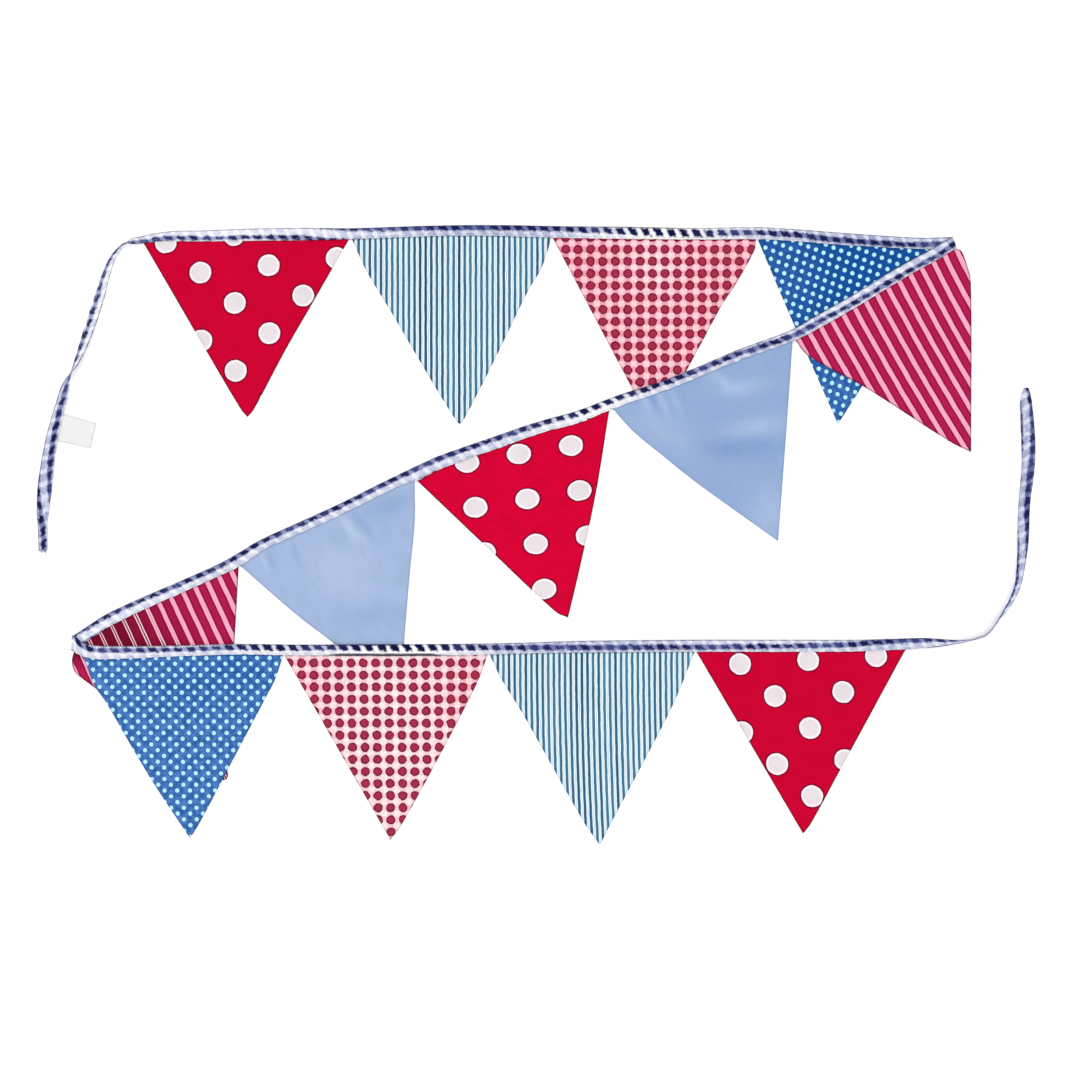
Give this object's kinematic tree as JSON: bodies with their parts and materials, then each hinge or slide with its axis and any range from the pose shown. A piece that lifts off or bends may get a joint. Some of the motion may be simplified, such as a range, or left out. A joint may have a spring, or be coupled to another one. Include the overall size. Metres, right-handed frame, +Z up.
{
  "type": "fabric bunting",
  "caption": "Double-sided cloth pennants in mixed prints sewn into one gingham binding tape with long bare tie ends, laid out in a zigzag on a flat surface.",
  "frame": {"origin": "Middle of the area that the laid-out bunting covers, on the surface it lies on.", "axes": "+X runs to the right along the layout's longest side, +Y up the layout towards the top run, +Z up from the surface."},
  "size_m": [0.998, 0.6196, 0.0095],
  "materials": {
    "gingham": "matt woven cotton",
    "red_spot": "matt printed cotton",
    "ticking": "matt printed cotton",
    "pink_dot": "matt printed cotton",
    "pin_dot": "matt printed cotton",
    "crimson_stripe": "matt printed cotton",
    "plain_blue": "soft sheen plain cotton",
    "label_satin": "satin ribbon"
  },
  "bodies": {
    "root": {"binding_tape": "gingham", "pennant_01": "red_spot", "pennant_02": "ticking", "pennant_03": "pink_dot", "pennant_04": "pin_dot", "pennant_05": "crimson_stripe", "pennant_06": "plain_blue", "pennant_07": "red_spot", "pennant_08": "plain_blue", "pennant_09": "crimson_stripe", "pennant_10": "pin_dot", "pennant_11": "pink_dot", "pennant_12": "ticking", "pennant_13": "red_spot", "sewn_label": "label_satin"}
  },
  "joints": []
}
